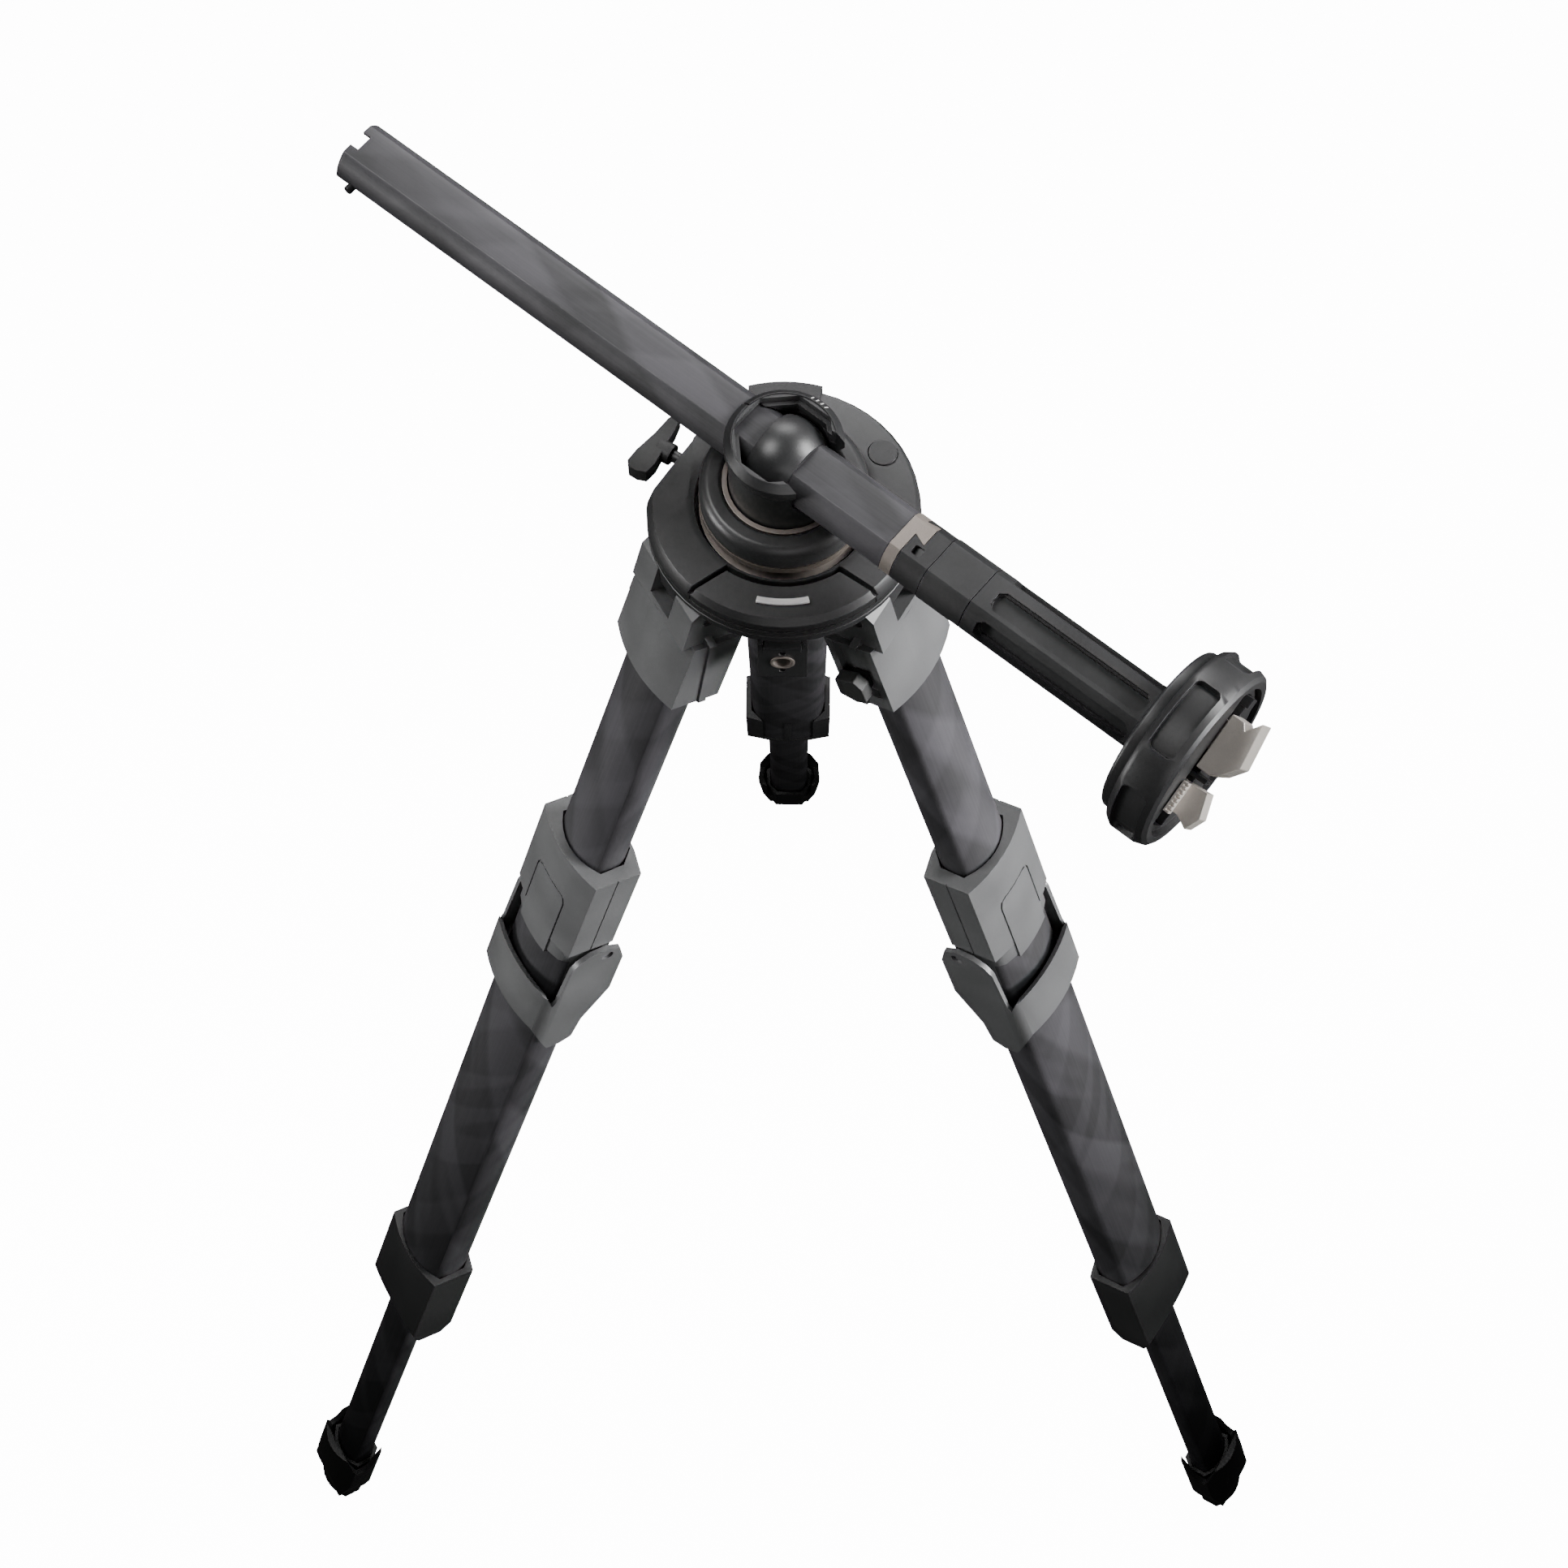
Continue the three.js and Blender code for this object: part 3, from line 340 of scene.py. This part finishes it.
# ---- pieces built finer than their CAD solids ----
def cut_corners(points, rounds=2):
    """Chaikin's corner cutting: rounds an outline without leaving it."""
    for _ in range(rounds):
        cut = []
        for i, (x0, y0) in enumerate(points):
            x1, y1 = points[(i + 1) % len(points)]
            cut.append((0.75 * x0 + 0.25 * x1, 0.75 * y0 + 0.25 * y1))
            cut.append((0.25 * x0 + 0.75 * x1, 0.25 * y0 + 0.75 * y1))
        points = cut
    return points


def piece_from(name, bm, body, material, stands_for=()):
    bmesh.ops.recalc_face_normals(bm, faces=bm.faces)
    mesh = bpy.data.meshes.new(name)
    bm.to_mesh(mesh)
    bm.free()
    piece = bpy.data.objects.new(name, mesh)
    bpy.context.scene.collection.objects.link(piece)
    paint(piece, material)
    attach(piece, body)
    if stands_for:
        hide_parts(*stands_for)
    return piece


def tube_mesh(outer, inner, stations, place):
    """Hollow tube: outline pairs lofted along stations; UV holds metres along and round."""
    bm = bmesh.new()
    layer = bm.loops.layers.uv.new("along_round")
    count = len(outer)
    lengths = [0.0]
    for i in range(count):
        step = Vector(outer[i]) - Vector(outer[(i + 1) % count])
        lengths.append(lengths[-1] + step.length * MM)
    loops = [[bm.verts.new(place(x, y, s)) for x, y in outer] for s in stations]
    loops += [[bm.verts.new(place(x, y, s)) for x, y in inner] for s in reversed(stations)]
    heights = list(stations) + list(reversed(stations))
    for k, ring in enumerate(loops):
        after = loops[(k + 1) % len(loops)]
        for i in range(count):
            j = (i + 1) % count
            face = bm.faces.new((ring[i], ring[j], after[j], after[i]))
            ends = ((heights[k], lengths[i]), (heights[k], lengths[i + 1]),
                    (heights[(k + 1) % len(loops)], lengths[i + 1]),
                    (heights[(k + 1) % len(loops)], lengths[i]))
            for corner, (s, around) in zip(face.loops, ends):
                corner[layer].uv = (s * MM, around)
    return bm


def turn_angles(count, start=0.0):
    return [start + 2 * math.pi * i / count for i in range(count)]


def cos_sin(degrees):
    turn = math.radians(degrees)
    return math.cos(turn), math.sin(turn)


def bridge(bm, first, second):
    """Quads between two closed loops of as many points."""
    for i, vert in enumerate(first):
        j = (i + 1) % len(first)
        bm.faces.new((vert, first[j], second[j], second[i]))


def lathe(profile, steps, place):
    """Closed profile of (radius, along) points turned round an axis; place takes two offsets and along."""
    bm = bmesh.new()
    rings = []
    for radius, along in profile:
        rings.append([bm.verts.new(place(radius * math.cos(a), radius * math.sin(a), along))
                      for a in turn_angles(steps)])
    for k, ring in enumerate(rings):
        bridge(bm, ring, rings[(k + 1) % len(rings)])
    return bm


def prism(outline, low, high, place, mesh=None):
    """Solid between two copies of an outline; place turns (x, y, height) into scene metres."""
    bm = mesh or bmesh.new()
    below = [bm.verts.new(place(x, y, low)) for x, y in outline]
    above = [bm.verts.new(place(x, y, high)) for x, y in outline]
    bm.faces.new(below[::-1])
    bm.faces.new(above)
    bridge(bm, below, above)
    bmesh.ops.recalc_face_normals(bm, faces=bm.faces)
    return bm


def cut_away(piece, cutter):
    """Takes the cutter's volume out of the piece for good."""
    mesh = bpy.data.meshes.new("cutter")
    cutter.to_mesh(mesh)
    cutter.free()
    tool = bpy.data.objects.new("cutter", mesh)
    bpy.context.scene.collection.objects.link(tool)
    cut = piece.modifiers.new("cut", "BOOLEAN")
    cut.operation = "DIFFERENCE"
    cut.solver = "EXACT"
    cut.object = tool
    bpy.context.view_layer.update()
    shaped = piece.evaluated_get(bpy.context.evaluated_depsgraph_get())
    mesh = bpy.data.meshes.new_from_object(shaped)
    piece.modifiers.remove(cut)
    piece.data = mesh
    bpy.data.objects.remove(tool)


def bulge(x, half, rise, steps):
    points = []
    for i in range(steps + 1):
        y = half - 2 * half * i / steps
        points.append((x + rise * (1 - (y / half) ** 2), y))
    return points


def leg_section(half, grow=0.0):
    """The leg tube's outline: rounded outside, flat sides, narrower inside."""
    wide = half + grow
    front = bulge(0.41 * half + grow * 0.4, wide, 0.35 * half + grow * 0.6, 8)
    back = [
        (-0.3 * half, -wide * 0.97),
        (-0.66 * half - grow, -0.6 * wide),
        (-0.66 * half - grow, 0.6 * wide),
        (-0.3 * half, wide * 0.97),
    ]
    return front + back


def column_section(radius, flat, steps=14):
    half = math.acos(flat / radius)
    points = []
    for k in range(3):
        middle = math.pi / 2 + k * 2 * math.pi / 3
        start = middle + half
        end = middle + 2 * math.pi / 3 - half
        for i in range(steps + 1):
            a = start + (end - start) * i / steps
            points.append((radius * math.cos(a), radius * math.sin(a)))
    return points


LEG_WALL = 1.6
TUBE_HALF = {"upper_tube": 19.5, "middle_tube": 24.6, "lower_tube": 14.2}


def height_on_leg(number, node):
    """Lowest and highest point of a CAD node along its leg's axis, in millimetres."""
    hinge, _, _, up = leg_axes(number)
    heights = [(v.co - hinge).dot(up) / MM for v in frame["nodes"][node].data.vertices]
    return min(heights), max(heights)


def leg_tube(number, kind):
    node = f"leg_{number}_{kind}"
    low, high = height_on_leg(number, node)
    half = TUBE_HALF[kind]
    outer = cut_corners(leg_section(half))
    inner = cut_corners(leg_section(half, -LEG_WALL))
    bm = tube_mesh(outer, inner, [low, high], lambda x, y, s: on_leg(number, x, y, s))
    body = frame["nodes"][node]["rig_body"]
    piece = piece_from(f"{node}_carbon", bm, body, CARBON, [node])
    soften(piece, 0)


for leg in LEGS:
    for tube in TUBE_HALF:
        leg_tube(leg, tube)


def column_span(node):
    spans = [(v.co - TOP).dot(ALONG) / MM for v in frame["nodes"][node].data.vertices]
    return min(spans), max(spans)


COLUMN_RADIUS, COLUMN_FLAT = 16, 13.4  # to the rounded corners and to the flats
BORE_RADIUS, BORE_FLAT = 14.2, 11.6
NOTCH_DEPTH, NOTCH_HALF = 4.6, 4.3  # in the tail's upper edge
NOTCH_BOTTOM = 8  # above the axis, within the bore
PIN_HOLE_RADIUS = 2.6
PIN_HOLE_AT = 9  # from the tail end to the hole's middle
PIN_HOLE_BOTTOM = 9  # from the axis, within the bore
PAST_SURFACE = 20  # a cutter reaches this far from the axis, beyond what it cuts
PAST_END = 5


def column_tube():
    start, end = column_span("column_tube")
    outer = cut_corners(column_section(COLUMN_RADIUS, COLUMN_FLAT), 1)
    inner = cut_corners(column_section(BORE_RADIUS, BORE_FLAT), 1)
    bm = tube_mesh(outer, inner, [start, end], lambda y, z, s: on_column(s, y, z))
    piece = piece_from("column_tube_carbon", bm, "column", CARBON, ["column_tube"])
    notch = (
        (start - PAST_END, -NOTCH_HALF),
        (start + NOTCH_DEPTH, -NOTCH_HALF),
        (start + NOTCH_DEPTH, NOTCH_HALF),
        (start - PAST_END, NOTCH_HALF),
    )
    cut_away(piece, prism(notch, NOTCH_BOTTOM, PAST_SURFACE, on_column))
    hole = [
        (start + PIN_HOLE_AT + PIN_HOLE_RADIUS * math.cos(a), PIN_HOLE_RADIUS * math.sin(a))
        for a in turn_angles(20)
    ]
    cut_away(piece, prism(hole, PIN_HOLE_BOTTOM, PAST_SURFACE, lambda x, z, depth: on_column(x, -depth, z)))
    soften(piece, 0)


column_tube()

EIGHTH = math.pi / 4  # one side of an octagon, seen from its middle


def step_ring(outer, corners, low, high, place):
    """Ring between a round outside and an eight-cornered opening."""
    bm = bmesh.new()
    rings = []
    for height in (low, high):
        for radius, octagon in ((outer, False), (corners, True)):
            ring = []
            for a in turn_angles(64, EIGHTH / 2):
                off = (a - EIGHTH / 2) % EIGHTH - EIGHTH / 2
                far = radius * math.cos(EIGHTH / 2) / math.cos(off) if octagon else radius
                ring.append(bm.verts.new(place(far * math.cos(a), far * math.sin(a), height)))
            rings.append(ring)
    low_out, low_in, high_out, high_in = rings
    bridge(bm, low_out, high_out)
    bridge(bm, high_out, high_in)
    bridge(bm, high_in, low_in)
    bridge(bm, low_in, low_out)
    bmesh.ops.recalc_face_normals(bm, faces=bm.faces)
    return bm


OPENING_RADIUS, OPENING_FLAT = 16.8, 14.1  # the column's way through the steps, with clearance
GAP_FROM = 4  # the steps are cut open from here on, along the column
PAST_TOWER = 40  # the cutters reach this far
STEPS = {  # outer radius, radius to the corners, lowest and highest point above the column's axis
    "tower_step_upper": (23.1, 23.2, 14.4, 18.1),
    "tower_step_lower": (23.1, 21.2, 9.5, 14.1),
}


def column_opening():
    outline = column_section(OPENING_RADIUS, OPENING_FLAT)
    return prism(outline, -PAST_TOWER, PAST_TOWER, lambda y, z, s: on_column(s, y, z))


def tower_rim():
    """Two eight-sided steps inside the tower's round rim, open above and ahead for the column."""
    gap = (
        (GAP_FROM, -OPENING_RADIUS),
        (PAST_TOWER, -OPENING_RADIUS),
        (PAST_TOWER, OPENING_RADIUS),
        (GAP_FROM, OPENING_RADIUS),
    )
    body = frame["nodes"]["column_tower"]["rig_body"]
    for name, (outer, corners, low, high) in STEPS.items():
        ring = step_ring(outer, corners, low, high, on_column)
        piece = piece_from(name, ring, body, DARK_PAINT_AND_SHADE, ["tower_liner"])
        cut_away(piece, column_opening())
        cut_away(piece, prism(gap, 0, PAST_TOWER, on_column))
        soften(piece, 0.35)


tower_rim()

FLUTES, FIRST_FLUTE = 6, 6  # how many, and where the first is in degrees
FLUTE_FROM, FLUTE_TO = 119.5, 201.4  # along the column
FLUTE_HALF = 4.6
FLUTE_END = 3.6  # how far its rounded end reaches along the column
FLUTE_FLOOR = 10.7  # from the column's axis


def flute_cutter(turn):
    """Deep groove with rounded ends, cut towards the column's axis."""
    end = [
        (FLUTE_TO - FLUTE_END + FLUTE_END * math.cos(a), FLUTE_HALF * math.sin(a))
        for a in turn_angles(16)
        if math.cos(a) > 0.01
    ]
    end.sort(key=lambda point: point[1])
    start = [(FLUTE_FROM + FLUTE_TO - x, -y) for x, y in end]
    c, n = cos_sin(turn)
    return prism(end + start, FLUTE_FLOOR, PAST_SURFACE,
                 lambda x, y, z: on_column(x, y * c - z * n, y * n + z * c))


def copy_of(node_name, name, material):
    """A piece that starts as the CAD node's own shape, to be cut further."""
    node = frame["nodes"][node_name]
    bm = bmesh.new()
    bm.from_mesh(node.data)
    bmesh.ops.remove_doubles(bm, verts=bm.verts, dist=SAME_POINT)
    return piece_from(name, bm, node["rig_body"], material, [node_name])


def fluted_grip():
    """The grip with its grooves cut to full depth."""
    piece = copy_of("column_grip", "column_grip_fluted", PLASTIC)
    for k in range(FLUTES):
        cut_away(piece, flute_cutter(FIRST_FLUTE + 360 / FLUTES * k))
    soften(piece, 0.75, weld=True, segments=3)


fluted_grip()

RIM_SLIT = 133  # degrees, where the slit crosses the tower's rim, seen from above
SLIT_HALF = 0.45
SLIT_FROM, SLIT_TO = 22.6, 29  # radii
SLIT_BOTTOM, SLIT_TOP = 12.5, 21  # above the column's axis
RIM_MARKS = (42, 48, 54, 60)  # degrees, where the short index marks lie on the rim
MARK_HALF = 0.28
MARK_FROM, MARK_TO = 0.4, 3.2  # down the rim's sloping face
BEVEL_TOP = (23.7, 18.6)  # radius and height where that face starts
SLOPE = 0.707  # cosine of that face's 45 degrees
MARK_SUNK, MARK_PROUD = 0.1, 0.05


def round_crown(degrees):
    """Place for shapes given by their distance out, sideways and up at one direction from the tower."""
    c, n = cos_sin(degrees)
    return lambda out, side, up: on_crown(out * c - side * n, out * n + side * c, up)


def split_tower():
    """The tower with a slit across its rim."""
    piece = copy_of("column_tower", "column_tower_split", PLASTIC)
    slit = ((SLIT_FROM, -SLIT_HALF), (SLIT_TO, -SLIT_HALF), (SLIT_TO, SLIT_HALF), (SLIT_FROM, SLIT_HALF))
    cut_away(piece, prism(slit, SLIT_BOTTOM, SLIT_TOP, round_crown(RIM_SLIT)))
    soften(piece, 0.45, weld=True)


def rim_marks():
    body = frame["nodes"]["column_tower"]["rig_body"]
    flat = ((MARK_FROM, -MARK_HALF), (MARK_TO, -MARK_HALF), (MARK_TO, MARK_HALF), (MARK_FROM, MARK_HALF))
    bm = bmesh.new()
    for turn in RIM_MARKS:
        place = round_crown(turn)

        def on_slope(down, side, above):
            return place(BEVEL_TOP[0] + SLOPE * (down + above), side, BEVEL_TOP[1] - SLOPE * (down - above))

        prism(flat, -MARK_SUNK, MARK_PROUD, on_slope, bm)
    soften(piece_from("tower_rim_marks", bm, body, BRIGHT), 0)


split_tower()
rim_marks()

RING_PROFILE = (  # radius, and place along the column
    (38.6, 214),
    (43.7, 214),
    (45.7, 217),
    (45.7, 228.5),
    (44.2, 233),
    (42.1, 234.5),
    (38.6, 234.5),
)
RECESSES, FIRST_RECESS = 5, 101.5  # how many, and where the first is in degrees
RECESS_RADIUS = 43.1
RECESS_HALF = 23.5  # degrees
RECESS_FROM, RECESS_TO = 217.4, 230.1  # along the column
RECESS_CORNER = 3.2
PAST_RING = 50  # the cutter's outer radius


def recess_cutter(middle):
    """Cutter for one finger recess: a curved pad with rounded corners."""
    corner = math.degrees(RECESS_CORNER / RECESS_RADIUS)
    first_half = []
    for i in range(6):
        c, n = cos_sin(90 * i / 5)
        first_half.append((-RECESS_HALF + corner * (1 - c), 1 - n))
    first_half += [(-RECESS_HALF + corner + (RECESS_HALF - corner) * i / 6, 0) for i in range(1, 7)]
    turns = first_half + [(-turn, inset) for turn, inset in reversed(first_half[:-1])]
    bm = bmesh.new()
    rows = []
    for turn, inset in turns:
        c, n = cos_sin(middle + turn)
        near, far = RECESS_FROM + RECESS_CORNER * inset, RECESS_TO - RECESS_CORNER * inset
        corners = ((RECESS_RADIUS, near), (RECESS_RADIUS, far), (PAST_RING, far), (PAST_RING, near))
        rows.append([bm.verts.new(on_column(x, radius * c, radius * n)) for radius, x in corners])
    for here, after in zip(rows, rows[1:]):
        bridge(bm, here, after)
    bm.faces.new(rows[0])
    bm.faces.new(rows[-1])
    bmesh.ops.recalc_face_normals(bm, faces=bm.faces)
    return bm


def lock_ring():
    body = frame["nodes"]["mount_lock_ring"]["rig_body"]
    bm = lathe(RING_PROFILE, 144, lambda y, z, x: on_column(x, y, z))
    piece = piece_from("lock_ring_turned", bm, body, BLACK_PAINT, ["mount_lock_ring"])
    for k in range(RECESSES):
        cut_away(piece, recess_cutter(FIRST_RECESS + 360 / RECESSES * k))
    soften(piece, 0.7, segments=3)


lock_ring()

INSERT_PROFILE = (  # radius, and place from front to back
    (5.7, -58.2),
    (5.7, -58.8),
    (5.3, -59.0),
    (4.5, -59.0),
    (4.1, -58.7),
    (4.1, -53.0),
    (4.6, -53.0),
    (4.6, -58.2),
)
SOCKET_HEIGHT = -84  # from the column's axis


def socket_insert():
    """The bronze lip round the accessory socket's hole."""
    bm = lathe(INSERT_PROFILE, 48, lambda x, z, y: on_crown(x, y, SOCKET_HEIGHT + z))
    body = frame["nodes"]["accessory_plate"]["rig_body"]
    soften(piece_from("socket_insert", bm, body, BRONZE), 0)


socket_insert()

# ---- floor, light and camera ----
SWEEP_OUTLINE = (  # radius and height in metres
    (0, 0),
    (14, 0),
    (18, 0.8),
    (20, 3.0),
    (22, 7.0),
    (22, 13.0),
    (18, 19.0),
    (10, 24.0),
    (0, 26.0),
)


FLOOR_GAP = 0.0006  # metres below the feet


def sweep():
    """Seamless pale floor that curves up into a closed studio dome; it lights nothing itself."""
    bm = bmesh.new()
    steps = 64
    rings = []
    for radius, height in SWEEP_OUTLINE:
        rings.append([bm.verts.new((radius * math.cos(a), radius * math.sin(a), height))
                      for a in turn_angles(steps if radius else 1)])
    for below, above in zip(rings, rings[1:]):
        for i in range(steps):
            j = (i + 1) % steps
            corners = [below[i % len(below)], below[j % len(below)], above[j % len(above)],
                       above[i % len(above)]]
            bm.faces.new(list(dict.fromkeys(corners)))
    for face in bm.faces:
        face.smooth = True
    mesh = bpy.data.meshes.new("floor_sweep")
    bm.to_mesh(mesh)
    bm.free()
    ground = bpy.data.objects.new("floor_sweep", mesh)
    bpy.context.scene.collection.objects.link(ground)
    ground.location.z = -FLOOR_GAP
    material, tree, shader = new_material("pale_floor")
    grain = noise(tree, position(tree), 60.0)
    tree.links.new(blend_colour(tree, grain, (0.78, 0.78, 0.78), (0.84, 0.84, 0.84)),
                   shader.inputs["Base Color"])
    shader.inputs["Roughness"].default_value = 0.95
    shader.inputs["Emission Color"].default_value = (1, 1, 1, 1)
    shader.inputs["Emission Strength"].default_value = 14.0
    paint(ground, material)
    ground.visible_glossy = False
    ground.visible_diffuse = False
    ground.visible_shadow = False


sweep()


def softbox(name, place, size, power, aim, spread_deg):
    """Small area light; its place, size and aim are metres and its power watts."""
    data = bpy.data.lights.new(name, "AREA")
    data.shape = "RECTANGLE"
    data.size, data.size_y = size
    data.energy = power
    data.spread = math.radians(spread_deg)
    light = bpy.data.objects.new(name, data)
    bpy.context.scene.collection.objects.link(light)
    light.location = place
    light.rotation_euler = (Vector(aim) - Vector(place)).to_track_quat("-Z", "Y").to_euler()
    light.visible_camera = False


softbox("right_box", (1.5, -0.5, 1.15), (0.6, 0.7), 5.8, (0.16, -0.2, 0.86), 36)
softbox("crown_box", (1.2, 0.1, 1.9), (0.6, 0.6), 4.4, (0.05, -0.05, 1.1), 45)
softbox("left_box", (-1.5, -0.4, 1.05), (0.5, 0.6), 1.7, (-0.16, -0.2, 0.84), 38)
softbox("top_box", (-0.9, 0.1, 2.4), (0.9, 0.9), 2.6, (-0.12, 0, 1.15), 45)
softbox("back_box", (0.1, 1.5, 2.2), (1.3, 0.9), 4.4, (0, 0, 1.1), 60)
softbox("front_box", (0.2, -1.6, 1.9), (1.2, 0.7), 1.2, (0, 0, 1.0), 70)
world = bpy.data.worlds.new("studio")
bpy.context.scene.world = world
world.use_nodes = True
world.node_tree.nodes["Background"].inputs["Color"].default_value = (1, 1, 1, 1)
world.node_tree.nodes["Background"].inputs["Strength"].default_value = 0.025

LENS = 79.59  # on a 36 mm sensor
CAMERA_PLACE = (8.9, -783.0, 1337.5)  # from where the column's and the tower's axes cross
CAMERA_TILT, CAMERA_PAN = 25, 0.65  # degrees
CLIP_END = 100  # metres, past the dome
camera = bpy.data.objects.new("camera", bpy.data.cameras.new("camera"))
bpy.context.scene.collection.objects.link(camera)
camera.data.lens = LENS
camera.data.sensor_width = 36
camera.data.clip_end = CLIP_END
camera.location = on_crown(*CAMERA_PLACE)
camera.rotation_euler = (math.radians(CAMERA_TILT), 0, math.radians(CAMERA_PAN))
bpy.context.scene.camera = camera
